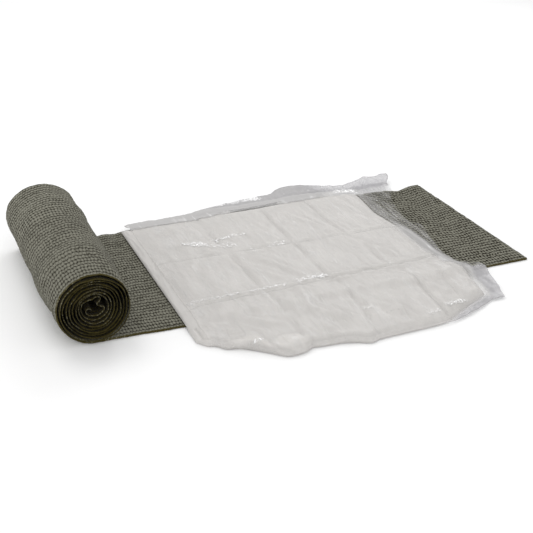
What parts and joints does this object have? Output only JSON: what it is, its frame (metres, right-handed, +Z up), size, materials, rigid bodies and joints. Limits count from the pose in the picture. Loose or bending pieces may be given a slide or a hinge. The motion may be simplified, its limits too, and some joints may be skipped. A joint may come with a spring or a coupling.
{
  "type": "emergency trauma bandage",
  "caption": "Rolled crepe elastic bandage laid out with a square absorbent wound pad spread on it, under a loose clear film.",
  "frame": {"origin": "middle of the bounding box's underside, on the surface that the bandage lies on", "axes": "+X along the wrap, from the roll towards the free end; +Y across the wrap, away from the edge that the pad hangs over; +Z up"},
  "size_m": [0.4812, 0.3204, 0.0662],
  "materials": {
    "crepe": "dark olive grey crepe, matt, elastic",
    "pad": "white non-woven, soft, matt",
    "film": "thin clear plastic film, crumpled, glossy"
  },
  "bodies": {
    "root": {"elastic_wrap": "crepe", "absorbent_pad": "pad", "clear_film": "film"}
  },
  "joints": []
}
